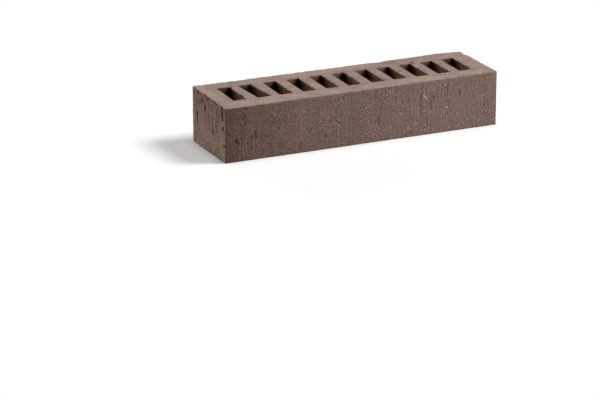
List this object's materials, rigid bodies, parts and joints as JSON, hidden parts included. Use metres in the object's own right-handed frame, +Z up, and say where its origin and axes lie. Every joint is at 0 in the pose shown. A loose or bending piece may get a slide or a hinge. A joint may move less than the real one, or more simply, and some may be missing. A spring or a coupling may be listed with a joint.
{
  "type": "clay brick",
  "caption": "Slim wire-cut clay facing brick with a single row of cross slots through its beds, laid in mortar as one unit of a wall.",
  "frame": {"origin": "middle of the lower bed, on the surface that the brick lies on", "axes": "+X along the length of the front face, +Y from the front face to the back face, +Z up through the slots"},
  "size_m": [0.24, 0.065, 0.045],
  "materials": {
    "fired_clay": "matt grey-brown fired clay, with drag lines on the extruded faces and smoother, paler cut beds"
  },
  "bodies": {
    "root": {"brick": "fired_clay"}
  },
  "joints": []
}
